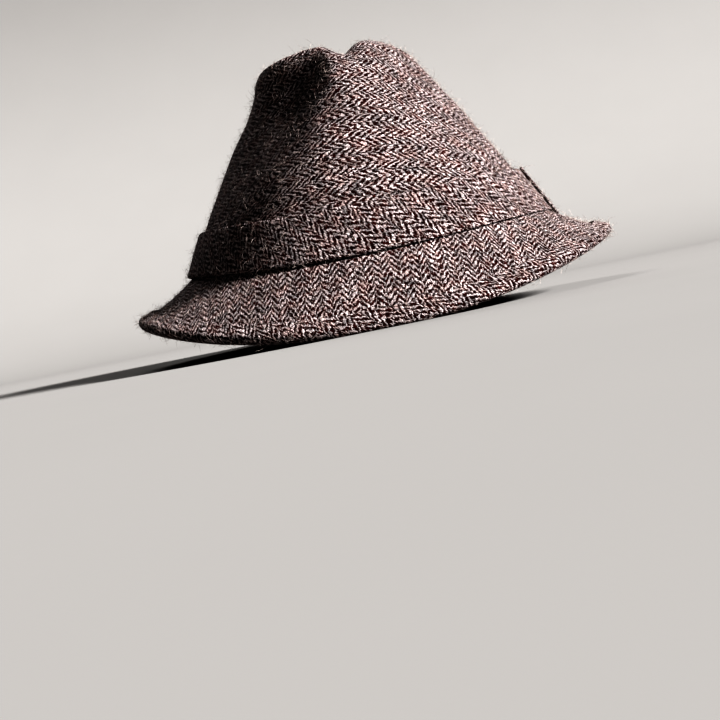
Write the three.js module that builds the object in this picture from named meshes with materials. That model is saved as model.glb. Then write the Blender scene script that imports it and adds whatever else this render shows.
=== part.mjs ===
// Herringbone tweed fedora: pinched crown, hatband with its tab, snapped brim and bound brim edge.
// Millimetres, +Z up. The hat rests on its brim at z = 0, its front faces -Y and +X is the wearer's left.
import * as THREE from "three";

// Cloth: how thick each wall is, and the gap that pieces keep
const CROWN_WALL = 2.2;
const BRIM_WALL = 2.4;
const BAND_WALL = 2;
const TAB_WALL = 1.2;
const BINDING_WALL = 1.1;
const SEAM_GAP = 0.3;

// Seam between crown and brim: its height above the floor at the sides, and the rise where its curve fades out
const SEAM_SIDE_HEIGHT = 38.4;
const SEAM_FADE = 100;

// Crown sections from the seam up over the ridge and down into the crease.
// rise is the height above the side seam, and right, left, front and back are reaches from the hat's middle.
// sag is how much lower the section's middle lies than its ends, and notch how far its front end dips.
const CROWN_SECTIONS = [
  { rise: 0, right: 84, left: 84, front: 101, back: 101, sag: 0, notch: 0 },
  { rise: 13, right: 77.5, left: 77, front: 97.5, back: 97.5, sag: 0, notch: 0 },
  { rise: 26, right: 70.5, left: 70, front: 94, back: 93.5, sag: 0, notch: 0 },
  { rise: 39, right: 63, left: 62.5, front: 90, back: 88.5, sag: 0, notch: 0 },
  { rise: 52, right: 54.5, left: 55, front: 85.5, back: 82.5, sag: 0, notch: 0 },
  { rise: 64, right: 45, left: 47, front: 80.5, back: 75.5, sag: 0, notch: 1 },
  { rise: 74, right: 39, left: 41, front: 75, back: 68, sag: 0, notch: 2.5 },
  { rise: 81, right: 36.5, left: 36, front: 69, back: 60, sag: 0, notch: 4.5 },
  { rise: 85, right: 32.5, left: 28, front: 63, back: 53, sag: 0, notch: 6 },
  { rise: 83.5, right: 21, left: 19, front: 58, back: 47, sag: 2, notch: 5 },
  { rise: 78, right: 5.5, left: 10.5, front: 55, back: 43, sag: 5, notch: 2.5 },
  { rise: 75.5, right: -5, left: 5, front: 53, back: 40, sag: 7, notch: 0 },
];
const PLAIN_SECTIONS = 3;

// Notch where the crease runs out over the front, gentle on the wearer's right and steep on the left
const NOTCH_ANGLE = 15;
const NOTCH_SPAN_RIGHT = 26;
const NOTCH_SPAN_LEFT = 14;

// Pinches pressed into the front of the crown. lean is how many degrees they come forward for each millimetre up,
// and aim the way that they press, from straight back towards the middle plane. The pressed cloth rises by a share.
const PINCH_LIFT = 0.2;
const PINCHES = [
  { angle: -32, rise: 66, depth: 14, angleSpan: 24, riseSpan: 29, lean: 0.5, aim: 50 },
  { angle: 42, rise: 58, depth: 4, angleSpan: 22, riseSpan: 27, lean: 0, aim: 90 },
];

// Brim: its width along the slope, and how steeply it falls at the seam and at the edge
const BRIM_SECTIONS = {
  front: { width: 39, rootSlope: 40, edgeSlope: 50 },
  side: { width: 29.5, rootSlope: 39, edgeSlope: 18 },
  back: { width: 39, rootSlope: 40, edgeSlope: 50 },
};
const BRIM_FLANGE = 3.4;

// Edge binding, with how much of it is pressed flat on the floor, and hatband
const BINDING_LAP = 5.5;
const FLATTENED = 0.8;
const BAND_HEIGHT = 20.5;
const BAND_EDGE = 0.7;
const TAB_FROM = 80;
const TAB_TO = 105;

// Facets round the hat, across the brim and round the binding's fold
const STEPS = 72;
const BRIM_ROWS = 6;
const LAP_ROWS = 2;
const FOLD_ROWS = 4;

const TWEED = { color: 0x7d6862, roughness: 0.95, metalness: 0 };
const BIAS_TWEED = { color: 0x75615b, roughness: 0.95, metalness: 0 };

const radians = THREE.MathUtils.degToRad;
const stepAngle = (step) => (2 * Math.PI * step) / STEPS;

// Value of one column between the rows of a table, on a smooth curve through the rows
function columnAt(rows, column, station) {
  const last = rows.length - 1;
  const row = Math.min(Math.floor(station), last - 1);
  const t = station - row;
  const b = rows[row][column];
  const c = rows[row + 1][column];
  const a = row > 0 ? rows[row - 1][column] : 2 * b - c;
  const d = row + 2 <= last ? rows[row + 2][column] : 2 * c - b;
  const bend = 2 * a - 5 * b + 4 * c - d + t * (3 * b - a - 3 * c + d);
  return b + 0.5 * t * (c - a + t * bend);
}

// The brim's size at an angle, blended from its front, side and back rows
function brimSize(angle) {
  const share = Math.cos(angle) ** 2;
  const end = Math.cos(angle) > 0 ? BRIM_SECTIONS.front : BRIM_SECTIONS.back;
  const { side } = BRIM_SECTIONS;
  const blend = (column) => side[column] + (end[column] - side[column]) * share;
  return { width: blend("width"), root: radians(blend("rootSlope")), edge: radians(blend("edgeSlope")) };
}

// How far out and down the brim's upper face runs to a distance along its slope
function brimRun({ width, root, edge }, distance) {
  const turn = (edge - root) / width;
  const slope = root + turn * distance;
  return {
    slope,
    outwards: (Math.sin(slope) - Math.sin(root)) / turn,
    fall: (Math.cos(root) - Math.cos(slope)) / turn,
  };
}

// Height of the seam where the edge below it rests on the floor
function restingSeam(angle) {
  const size = brimSize(angle);
  const { slope, fall } = brimRun(size, size.width);
  const foldReach = BRIM_WALL / 2 + SEAM_GAP + BINDING_WALL - FLATTENED;
  return SEAM_GAP + fall + (BRIM_WALL / 2) * Math.cos(slope) + foldReach;
}

// Height of the seam round the hat: low at the front and back, high at the sides
function seamHeight(angle) {
  const low = restingSeam(Math.cos(angle) > 0 ? 0 : Math.PI);
  return low + (SEAM_SIDE_HEIGHT - low) * Math.sin(angle) ** 2;
}

// Share of a dent that is felt at an angle from its middle
function nearAngle(angle, middle, span) {
  const turn = angle - radians(middle);
  const across = Math.atan2(Math.sin(turn), Math.cos(turn)) / radians(span);
  return Math.exp(-across * across);
}

// How far the pinches move a place on the crown: across, back and up
function pinchMove(angle, rise) {
  const move = new THREE.Vector3();
  for (const pinch of PINCHES) {
    const up = rise - pinch.rise;
    const side = Math.sign(pinch.angle);
    const share = nearAngle(angle, pinch.angle - side * pinch.lean * up, pinch.angleSpan);
    const way = new THREE.Vector3(-side * Math.sin(radians(pinch.aim)), Math.cos(radians(pinch.aim)), PINCH_LIFT);
    move.addScaledVector(way, pinch.depth * share * Math.exp(-((up / pinch.riseSpan) ** 2)));
  }
  return move;
}

// How far the notch lowers the front of a section whose front end dips by a depth
function notchDip(angle, depth) {
  const span = Math.sin(angle - radians(NOTCH_ANGLE)) < 0 ? NOTCH_SPAN_RIGHT : NOTCH_SPAN_LEFT;
  return depth * nearAngle(angle, NOTCH_ANGLE, span);
}

// A point of the crown's outer face, at an angle from the front and a station up the section table
function crownPoint(angle, station) {
  const at = (column) => columnAt(CROWN_SECTIONS, column, station);
  const rise = at("rise");
  const across = Math.sin(angle);
  const along = -Math.cos(angle);
  const x = across * (across < 0 ? at("right") : at("left"));
  const y = along * (along < 0 ? at("front") : at("back"));
  const saddle = (SEAM_SIDE_HEIGHT - seamHeight(angle)) * (1 - rise / SEAM_FADE);
  const dip = at("sag") * across * across + notchDip(angle, at("notch"));
  const z = SEAM_SIDE_HEIGHT + rise - saddle - dip;
  const onWall = Math.min(1, Math.max(0, CROWN_SECTIONS.length - 2 - station));
  return new THREE.Vector3(x, y, z).addScaledVector(pinchMove(angle, rise), onWall);
}

// Outward direction of the crown's face, from its slopes round the hat and up the wall
function crownNormal(angle, station) {
  const step = 0.01;
  const round = crownPoint(angle + step, station).sub(crownPoint(angle - step, station));
  const up = crownPoint(angle, station + step).sub(crownPoint(angle, Math.max(0, station - step)));
  return round.cross(up).normalize();
}

// A mesh from shared vertices and triangles
function meshOf(name, look, points, triangles) {
  const geometry = new THREE.BufferGeometry().setFromPoints(points).setIndex(triangles);
  geometry.computeVertexNormals();
  const mesh = new THREE.Mesh(geometry, new THREE.MeshStandardMaterial(look));
  mesh.name = name;
  return mesh;
}

// Two triangles for the four corners of a face, in turning order
function addFace(triangles, a, b, c, d) {
  triangles.push(a, b, c, a, c, d);
}

// The crown's wall as a grid of rings whose last ring closes along the crease
function crownMesh() {
  const stations = [];
  for (let row = 0; row < CROWN_SECTIONS.length; row += 1) {
    if (row > PLAIN_SECTIONS) stations.push(row - 0.5);
    stations.push(row);
  }
  const rings = stations.length - 1;
  const outside = [];
  stations.forEach((station, ring) => {
    const last = ring < rings ? STEPS - 1 : STEPS / 2;
    for (let step = 0; step <= last; step += 1) outside.push(crownPoint(stepAngle(step), station));
  });
  const index = (ring, step) => {
    const place = step % STEPS;
    return ring * STEPS + (ring < rings ? place : Math.min(place, STEPS - place));
  };
  const faces = [];
  for (let ring = 0; ring < rings; ring += 1) {
    for (let step = 0; step < STEPS; step += 1) {
      faces.push([index(ring, step), index(ring, step + 1), index(ring + 1, step + 1), index(ring + 1, step)]);
    }
  }
  const triangles = [];
  faces.forEach((face) => addFace(triangles, ...face));
  const normals = meshOf("outside", TWEED, outside, [...triangles]).geometry.getAttribute("normal");
  const inside = outside.map((point, place) => {
    const inwards = new THREE.Vector3().fromBufferAttribute(normals, place).negate();
    if (place < STEPS) inwards.setZ(0);
    return point.clone().add(inwards.setLength(CROWN_WALL));
  });
  const shift = outside.length;
  faces.forEach((face) => addFace(triangles, ...face.map((corner) => corner + shift).reverse()));
  for (let step = 0; step < STEPS; step += 1) {
    const next = (step + 1) % STEPS;
    addFace(triangles, step, shift + step, shift + next, next);
  }
  return meshOf("crown", TWEED, [...outside, ...inside], triangles);
}

// A body swept through closed sections, each turning from outwards to upwards.
// It closes on itself into a ring, or ends in flat caps. Each face is split along the diagonal
// that climbs round the hat, so that two cloths that lie on each other have the same facets.
function sweptMesh(name, look, sections, ring) {
  const size = sections[0].length;
  const count = sections.length;
  const index = (section, place) => (section % count) * size + (place % size);
  const triangles = [];
  for (let section = 0; section < (ring ? count : count - 1); section += 1) {
    for (let place = 0; place < size; place += 1) {
      const face = [index(section, place), index(section + 1, place)];
      face.push(index(section + 1, place + 1), index(section, place + 1));
      const climbs = sections[section][place].z <= sections[section][(place + 1) % size].z;
      if (!climbs) face.push(face.shift());
      addFace(triangles, ...face);
    }
  }
  for (let rung = 0; !ring && rung < size / 2 - 1; rung += 1) {
    const cap = [size - rung, rung + 1, rung + 2, size - rung - 1];
    addFace(triangles, ...cap.map((place) => index(0, place)));
    addFace(triangles, ...cap.reverse().map((place) => index(count - 1, place)));
  }
  return meshOf(name, look, sections.flat(), triangles);
}

// One section at each step round the hat
function sectionsRound(sectionAt) {
  return Array.from({ length: STEPS }, (_, step) => sectionAt(stepAngle(step)));
}

// A function that places (outwards, height) at an angle, measured from the foot of the crown
function seamFrame(angle) {
  const foot = crownPoint(angle, 0);
  const normal = crownNormal(angle, 0).setZ(0).normalize();
  return ([outwards, height]) => new THREE.Vector3(foot.x, foot.y, height).addScaledVector(normal, outwards);
}

// A place in the brim: a distance from the seam along the slope, and a depth below the upper face
function brimPlace(angle, distance, depth) {
  const top = seamHeight(angle) - SEAM_GAP;
  if (distance < 0) return [distance, top - depth];
  const { slope, outwards, fall } = brimRun(brimSize(angle), distance);
  return [outwards - depth * Math.sin(slope), top - fall - depth * Math.cos(slope)];
}

// The brim: a ring of two cloths from under the crown's foot out to the edge
function brimMesh() {
  const sections = sectionsRound((angle) => {
    const { width } = brimSize(angle);
    const distances = [-BRIM_FLANGE];
    for (let row = 0; row <= BRIM_ROWS; row += 1) distances.push((width * row) / BRIM_ROWS);
    const under = distances.map((distance) => brimPlace(angle, distance, BRIM_WALL));
    const upper = distances.map((distance) => brimPlace(angle, distance, 0));
    return [...under, ...upper.reverse()].map(seamFrame(angle));
  });
  return sweptMesh("brim", TWEED, sections, true);
}

// One face of the folded binding: along the under side, round the edge and back along the upper side
function bindingFace(angle, reach) {
  const { width, edge } = brimSize(angle);
  const lap = (row) => width - BINDING_LAP * (1 - row / LAP_ROWS);
  const face = [];
  for (let row = 0; row <= LAP_ROWS; row += 1) face.push(brimPlace(angle, lap(row), BRIM_WALL / 2 + reach));
  const [outwards, height] = brimPlace(angle, width, BRIM_WALL / 2);
  for (let row = 1; row < FOLD_ROWS; row += 1) {
    const turn = Math.PI * (row / FOLD_ROWS - 0.5) - edge;
    face.push([outwards + reach * Math.cos(turn), height + reach * Math.sin(turn)]);
  }
  for (let row = LAP_ROWS; row >= 0; row -= 1) face.push(brimPlace(angle, lap(row), BRIM_WALL / 2 - reach));
  return face;
}

// The edge binding, flattened on the floor where the hat rests on it
function bindingMesh() {
  const innerReach = BRIM_WALL / 2 + SEAM_GAP;
  const sections = sectionsRound((angle) => {
    const outer = bindingFace(angle, innerReach + BINDING_WALL);
    const pressed = outer.map(([outwards, height]) => [outwards, Math.max(0, height)]);
    const inner = bindingFace(angle, innerReach).reverse();
    return [...pressed, ...inner].map(seamFrame(angle));
  });
  return sweptMesh("brim_binding", BIAS_TWEED, sections, true);
}

// A cloth laid on the foot of the crown at a depth off its face, with its lower edge along the brim
function bandSection(angle, depth, wall) {
  const place = seamFrame(angle);
  const { root } = brimSize(angle);
  const foot = seamHeight(angle) - SEAM_GAP + SEAM_GAP / Math.cos(root);
  const low = (outwards) => place([outwards, foot - outwards * Math.tan(root)]);
  const sectionLength = crownPoint(angle, 0).distanceTo(crownPoint(angle, 1));
  const onCrown = (height, lift) => {
    const station = height / sectionLength;
    return crownPoint(angle, station).addScaledVector(crownNormal(angle, station), lift);
  };
  return [
    low(depth),
    low(depth + wall),
    onCrown(BAND_HEIGHT / 2, depth + wall),
    onCrown(BAND_HEIGHT - BAND_EDGE, depth + wall),
    onCrown(BAND_HEIGHT, depth + wall - BAND_EDGE),
    onCrown(BAND_HEIGHT, depth),
    onCrown(BAND_HEIGHT - BAND_EDGE, depth),
    onCrown(BAND_HEIGHT / 2, depth),
  ];
}

function hatbandMesh() {
  const sections = sectionsRound((angle) => bandSection(angle, SEAM_GAP, BAND_WALL));
  return sweptMesh("hatband", BIAS_TWEED, sections, true);
}

// The folded end of the hatband, lying on the band at the wearer's left
function hatbandTabMesh() {
  const depth = SEAM_GAP + BAND_WALL + SEAM_GAP;
  const sections = sectionsRound((angle) => bandSection(angle, depth, TAB_WALL));
  const first = Math.round((TAB_FROM / 360) * STEPS);
  const last = Math.round((TAB_TO / 360) * STEPS);
  return sweptMesh("hatband_tab", BIAS_TWEED, sections.slice(first, last + 1), false);
}

const fedora = new THREE.Group();
fedora.add(crownMesh(), brimMesh(), bindingMesh(), hatbandMesh(), hatbandTabMesh());

export default fedora;
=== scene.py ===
"""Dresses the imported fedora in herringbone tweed: crown, brim, binding, hatband, tab and loose fibres."""

import math
from collections import namedtuple

import bpy
import numpy as np
from bpy.props import FloatProperty, FloatVectorProperty, IntProperty, PointerProperty
from mathutils import Matrix, Vector
from mathutils.bvhtree import BVHTree


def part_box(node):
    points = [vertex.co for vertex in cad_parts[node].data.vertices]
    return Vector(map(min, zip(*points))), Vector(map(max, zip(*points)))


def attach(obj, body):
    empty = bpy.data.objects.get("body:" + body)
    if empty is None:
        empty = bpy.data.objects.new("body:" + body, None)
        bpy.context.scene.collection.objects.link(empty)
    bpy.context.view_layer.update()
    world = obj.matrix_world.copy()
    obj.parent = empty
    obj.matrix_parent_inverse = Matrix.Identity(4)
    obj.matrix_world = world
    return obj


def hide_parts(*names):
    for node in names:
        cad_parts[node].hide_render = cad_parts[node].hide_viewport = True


bl_info = {
    "name": "Herringbone Fedora",
    "version": (1, 0, 0),
    "blender": (4, 5, 0),
    "location": "View3D > Sidebar > Fedora",
    "description": "Models a tweed fedora piece by piece around its packed solids",
    "category": "Add Mesh",
}

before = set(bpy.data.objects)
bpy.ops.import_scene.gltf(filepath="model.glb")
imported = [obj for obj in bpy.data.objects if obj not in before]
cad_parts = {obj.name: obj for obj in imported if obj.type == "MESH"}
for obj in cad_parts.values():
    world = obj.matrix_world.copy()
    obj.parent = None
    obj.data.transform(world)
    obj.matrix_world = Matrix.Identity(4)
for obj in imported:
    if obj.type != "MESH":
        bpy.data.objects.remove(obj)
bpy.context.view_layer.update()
MM = 0.001
SQUARE_CM_IN_SQUARE_M = 1e4

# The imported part's finishes, and the materials that show them
STRAIGHT_SLOT = "herringbone_tweed"
BIAS_SLOT = "bias_cut_tweed"
STRAIGHT_TWEED = "wool_herringbone"
BIAS_TWEED = "wool_herringbone_on_the_bias"

# Crown sections from the seam up over the ridge and down into the crease, in millimetres.
# rise is the height above the side seam, and right, left, front and back are reaches from the hat's middle.
# sag is how much lower the section's middle lies than its ends, and notch how far its front end dips.
CrownSection = namedtuple("CrownSection", "rise right left front back sag notch")
CROWN_SECTIONS = (
    CrownSection(0, 84, 84, 101, 101, 0, 0),
    CrownSection(13, 77.5, 77, 97.5, 97.5, 0, 0),
    CrownSection(26, 70.5, 70, 94, 93.5, 0, 0),
    CrownSection(39, 63, 62.5, 90, 88.5, 0, 0),
    CrownSection(52, 54.5, 55, 85.5, 82.5, 0, 0),
    CrownSection(64, 45, 47, 80.5, 75.5, 0, 1),
    CrownSection(74, 39, 41, 75, 68, 0, 2.5),
    CrownSection(81, 36.5, 36, 69, 60, 0, 4.5),
    CrownSection(85, 32.5, 28, 63, 53, 0, 6),
    CrownSection(83.5, 21, 19, 58, 47, 2, 5),
    CrownSection(78, 5.5, 10.5, 55, 43, 5, 2.5),
    CrownSection(75.5, -5, 5, 53, 40, 7, 0),
)
RIDGE_STATION = 8
CREASE_STATION = len(CROWN_SECTIONS) - 1

# Notch where the crease runs out over the front, in degrees: gentle on the wearer's right, steep on the left
NOTCH_ANGLE = 15
NOTCH_SPAN_RIGHT = 26
NOTCH_SPAN_LEFT = 14

# Pinches pressed into the front of the crown. lean is how many degrees they come forward for each millimetre
# up, and aim the way that they press, from straight back towards the middle plane. The pressed cloth rises by
# a share of the push.
PINCH_LIFT = 0.2
Pinch = namedtuple("Pinch", "angle rise depth angle_span rise_span lean aim")
PINCHES = (
    Pinch(-32, 66, 14, 24, 29, 0.5, 50),
    Pinch(42, 58, 4, 22, 27, 0, 90),
)

# Brim: its width along the slope, and how many degrees it falls at the seam and at the edge.
# The flange is the level rim that lies under the crown's foot.
BrimSection = namedtuple("BrimSection", "width root_slope edge_slope")
BRIM_ENDS = BrimSection(39, 40, 50)
BRIM_SIDES = BrimSection(29.5, 39, 18)
BRIM_FLANGE = 3.4

# Seam between crown and brim, the rise at which its saddle has levelled out, and the gap that the pieces keep
SEAM_SIDE_HEIGHT = 38.4
SEAM_END_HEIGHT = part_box("crown")[0].z / MM
SEAM_FADE = 100
SEAM_GAP = 0.3

# Folded lower edge of hatband and tab: its height above the seam, and how much further it comes down for each
# millimetre off the crown. The band leaves a dark line above the brim, which fades out towards the tab over a
# span in degrees, and the tab nearly lies on the brim.
BAND_FOOT = -0.6
BAND_SLANT = 0.1
TAB_SLANT = 1.8
LOWERED_SPAN = 50

# Share of the tab's length over which each end is folded round
TAB_FOLD = 0.04

# Cut of the cloth: the share of a full turn that each panel takes when flat, and the turn of the bias strips
CROWN_CUT = 0.38
BRIM_CUT = 0.95
BIAS_ANGLE = 45

# Sewn seams are drawn in along the back of the crown and brim
BACK_SEAM_DEPTH = 0.7
BACK_SEAM_SPAN = 1.3

# Swells of the crown's soft cloth, which grow from the hatband up: how many go round the hat, how far they
# drift for each millimetre up, where they start and their share of the height
Swell = namedtuple("Swell", "turns drift start share")
SWELLS = (Swell(3, 0.05, 1.1, 1), Swell(7, -0.11, 0, 0.6), Swell(11, 0.16, 2.4, 0.4))
SWELL_HEIGHT = 0.25
SWELL_FROM = 26
SWELL_FULL = 46

# Facets round the hat, their crowding at its front and back, and facets up each wall and along the tab
RING_STEPS = 288
RING_CROWDING = 0.5
CROWN_ROWS = 100
BRIM_ROWS = 22
LAP_ROWS = 6
FOLD_ROWS = 10
BAND_ROWS = 12
TAB_STEPS = 60

# Finishing of a mesh: how near points are joined, how thin faces are dropped, and which folds are drawn sharp
WELD_DISTANCE = 0.01 * MM
SLIVER_SIZE = 0.001 * MM
SHARP_FOLD = math.radians(50)

# Smoothing of the crown's inner face, above a height that lies under the crease
SMOOTH_ABOVE = 100 * MM
SMOOTH_FACTOR = 0.5
SMOOTH_REPEATS = 36


def linear(hex_colour):
    """Linear RGB of an sRGB hex colour."""
    parts = [int(hex_colour[place:place + 2], 16) / 255 for place in (1, 3, 5)]
    return [part / 12.92 if part <= 0.04045 else ((part + 0.055) / 1.055) ** 2.4 for part in parts]


def length_property(label, description, default_mm):
    """A length that is shown in the scene's units, with its default in millimetres."""
    return FloatProperty(
        name=label, description=description, default=default_mm * MM, min=0, precision=5, unit="LENGTH",
    )


def colour_property(label, description, hex_colour):
    """A colour with its default as an sRGB hex value."""
    return FloatVectorProperty(
        name=label, description=description, default=linear(hex_colour), min=0, max=1, subtype="COLOR",
    )


def angle_property(label, description, degrees):
    """An angle with its default in degrees."""
    return FloatProperty(name=label, description=description, default=math.radians(degrees), subtype="ANGLE")


def number_property(label, description, default):
    """A plain number."""
    return FloatProperty(name=label, description=description, default=default)


class FedoraCloth(bpy.types.PropertyGroup):
    """Thicknesses and cut sizes of the cloth pieces"""

    crown_wall: length_property("Crown cloth", "Thickness of the crown's wall", 2.2)
    brim_wall: length_property("Brim cloth", "Thickness of the brim's two layers", 2.4)
    binding_wall: length_property("Binding cloth", "Thickness of the strip folded round the edge", 1.1)
    binding_lap: length_property("Binding lap", "How far the binding reaches in from the edge", 5.5)
    band_wall: length_property("Hatband cloth", "Thickness of the hatband", 2)
    band_height: length_property("Hatband height", "Height of the hatband up the wall", 20.5)
    tab_wall: length_property("Tab cloth", "Thickness of the hatband's folded end", 1.2)
    tab_from: angle_property("Tab start", "Where the tab starts, from the front towards the left", 80)
    tab_to: angle_property("Tab end", "Where the tab ends, from the front towards the left", 105)


class FedoraWeave(bpy.types.PropertyGroup):
    """Threads of the herringbone twill"""

    cream_spacing: length_property("Cream spacing", "Between cream yarns, which run along the stripes", 0.60)
    dark_spacing: length_property("Dark spacing", "Between dark yarns, which run across the stripes", 0.90)
    stripe_threads: IntProperty(
        name="Stripe threads", description="Cream yarns from one turn of the twill to the next",
        default=6, min=2,
    )
    float_tilt: number_property("Float tilt", "How far a float leans along the twill, in threads", 0.06)
    dark_yarn: colour_property("Dark yarn", "Brown-black yarn across the stripes", "#290C09")
    umber_yarn: colour_property("Umber yarn", "Red-brown lengths in the dark yarn", "#371512")
    rust_yarn: colour_property("Rust yarn", "Rusty red lengths in the dark yarn", "#3F1B1A")
    cream_yarn: colour_property("Cream yarn", "Cream yarn along the stripes", "#D0C2C1")
    rose_yarn: colour_property("Rose yarn", "Pinkish beige lengths in the cream yarn", "#C7B1AD")
    slate_yarn: colour_property("Slate yarn", "Grey lengths in the cream yarn", "#A59C9C")


class FedoraFibres(bpy.types.PropertyGroup):
    """Loose wool fibres that stand off the cloth"""

    density: FloatProperty(name="Density", description="Fibres on a square centimetre", default=26, min=0)
    length: length_property("Length", "Usual length of a fibre", 2.6)
    thickness: length_property("Thickness", "Several times that of a wool fibre, so that it shows", 0.1)
    seed: IntProperty(name="Seed", description="Seed of the fibres' places", default=11)
    pale: colour_property("Pale fibre", "Cream fibres", "#BEB0A9")
    brown: colour_property("Brown fibre", "Brown fibres", "#4A332D")


class FedoraStage(bpy.types.PropertyGroup):
    """Camera, light and floor"""

    azimuth: angle_property("Azimuth", "Camera's turn round the hat from its front", 1.1)
    elevation: angle_property("Elevation", "Camera's height angle at the aim point", -4.5)
    roll: angle_property("Roll", "Camera's roll, which lifts the hat's left side in the picture", 11.5)
    distance: length_property("Distance", "From the camera to the aim point", 625)
    aim_height: length_property("Aim height", "Height of the aim point in the hat's middle", 60)
    aim_across: number_property("Aim across", "Aim point's share of the picture's width", 0.498)
    aim_down: number_property("Aim down", "Aim point's share of the picture's height", 0.2757)
    lens: number_property("Lens", "Focal length in millimetres", 65.3)
    key_azimuth: angle_property("Key azimuth", "Key light's turn from the front towards the left", 63)
    key_elevation: angle_property("Key elevation", "Key light's height angle", 26)
    key_strength: number_property("Key strength", "Key light's watts on a square metre", 11.2)
    key_spread: angle_property("Key spread", "Angle that the key light covers, which softens its shadows", 14)
    back_azimuth: angle_property("Back azimuth", "Back light's turn from the front towards the left", 195)
    back_elevation: angle_property("Back elevation", "Back light's height angle over the backdrop", 42)
    back_strength: number_property("Back strength", "Back light's watts on a square metre", 1.5)
    back_spread: angle_property("Back spread", "Angle that the back light covers", 30)
    sky: number_property("Sky", "Strength of the even fill light", 0.03)
    floor: colour_property("Floor", "Matt pale floor and backdrop", "#817F7D")
    surround: number_property("Surround", "Tone where the camera sees past the backdrop", 0.5)


def column_at(name, station):
    """Value of one column between the rows of the crown's table, on a smooth curve through the rows."""
    rows = [getattr(row, name) for row in CROWN_SECTIONS]
    padded = np.array([2 * rows[0] - rows[1], *rows, 2 * rows[-1] - rows[-2]], float)
    row = np.clip(np.floor(station), 0, CREASE_STATION - 1).astype(int)
    t = station - row
    a, b, c, d = (padded[row + place] for place in range(4))
    bend = 2 * a - 5 * b + 4 * c - d + t * (3 * b - a - 3 * c + d)
    return b + 0.5 * t * (c - a + t * bend)


def brim_size(angle):
    """Width, root slope and edge slope of the brim at an angle, blended from its ends and sides."""
    share = np.cos(angle) ** 2
    width, root, edge = (side + (end - side) * share for end, side in zip(BRIM_ENDS, BRIM_SIDES))
    return width, np.radians(root), np.radians(edge)


def brim_run(angle, distance):
    """Slope, way out and fall of the brim's upper face at a distance from the seam."""
    width, root, edge = brim_size(angle)
    turn = (edge - root) / width
    slope = root + turn * distance
    return slope, (np.sin(slope) - np.sin(root)) / turn, (np.cos(root) - np.cos(slope)) / turn


def seam_height(angle):
    """Height of the seam round the hat: low at the front and back, high at the sides."""
    return SEAM_END_HEIGHT + (SEAM_SIDE_HEIGHT - SEAM_END_HEIGHT) * np.sin(angle) ** 2


def near_angle(angle, middle, span):
    """Share of a dent that is felt at an angle, with its middle and span in degrees."""
    turn = angle - np.radians(middle)
    across = np.arctan2(np.sin(turn), np.cos(turn)) / np.radians(span)
    return np.exp(-across * across)


def crown_points(angle, station):
    """Places on the crown's outer face, at angles from the front and stations up the section table."""
    angle, station = np.broadcast_arrays(angle, station)
    at = {name: column_at(name, station) for name in CrownSection._fields}
    across = np.sin(angle)
    along = -np.cos(angle)
    x = across * (at["left"] + at["right"]) / 2 + across ** 2 * (at["left"] - at["right"]) / 2
    y = along * np.where(along < 0, at["front"], at["back"])
    on_wall = np.clip(CREASE_STATION - 1 - station, 0, 1)
    lift = 0
    for pinch in PINCHES:
        up = at["rise"] - pinch.rise
        side = np.sign(pinch.angle)
        push = on_wall * pinch.depth * np.exp(-(up / pinch.rise_span) ** 2)
        push = push * near_angle(angle, pinch.angle - side * pinch.lean * up, pinch.angle_span)
        x = x - side * push * math.sin(math.radians(pinch.aim))
        y = y + push * math.cos(math.radians(pinch.aim))
        lift = lift + push * PINCH_LIFT
    saddle = (SEAM_SIDE_HEIGHT - seam_height(angle)) * (1 - at["rise"] / SEAM_FADE)
    span = np.where(np.sin(angle - math.radians(NOTCH_ANGLE)) < 0, NOTCH_SPAN_RIGHT, NOTCH_SPAN_LEFT)
    dip = at["sag"] * across ** 2 + at["notch"] * near_angle(angle, NOTCH_ANGLE, span)
    return np.stack([x, y, SEAM_SIDE_HEIGHT + at["rise"] + lift - saddle - dip], axis=-1)


def crown_normals(angle, station):
    """Outward directions of the crown's face, from its slopes round the hat and up the wall."""
    step = 0.01
    shortest = 1e-9
    station = np.maximum(0, station)
    round_hat = crown_points(angle + step, station) - crown_points(angle - step, station)
    up_wall = crown_points(angle, station + step) - crown_points(angle, np.maximum(0, station - step))
    normal = np.cross(round_hat, up_wall)
    return normal / np.maximum(np.linalg.norm(normal, axis=-1, keepdims=True), shortest)


def ring_angles(start=-math.pi):
    """Angles once round the hat, closer together at the front and back, where the curves are tight."""
    share = np.linspace(0, 1, RING_STEPS + 1)
    return start + 2 * math.pi * (share - RING_CROWDING * np.sin(4 * math.pi * share) / (4 * math.pi))


def seam_places(angle, outwards, height):
    """Places measured level outwards from the crown's foot, at a height above the floor."""
    foot = crown_points(angle, 0 * angle)
    normal = crown_normals(angle, 0 * angle)
    normal[..., 2] = 0
    normal /= np.linalg.norm(normal, axis=-1, keepdims=True)
    places = foot + normal * np.asarray(outwards)[..., None]
    places[..., 2] = height
    return places


def brim_places(angle, distance, depth):
    """Places in the brim at a distance from the seam along the slope and a depth below its upper face."""
    top = seam_height(angle) - SEAM_GAP
    slope, outwards, fall = brim_run(angle, np.maximum(0, distance))
    level = distance < 0
    out = np.where(level, distance, outwards - depth * np.sin(slope))
    height = np.where(level, top - depth, top - fall - depth * np.cos(slope))
    return seam_places(angle, out, height)


def running_length(places, axis):
    """Distance run along the rows or columns of a grid of places."""
    steps = np.linalg.norm(np.diff(places, axis=axis), axis=-1)
    start = np.zeros_like(np.take(steps, [0], axis=axis))
    return np.concatenate([start, np.cumsum(steps, axis=axis)], axis=axis)


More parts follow.
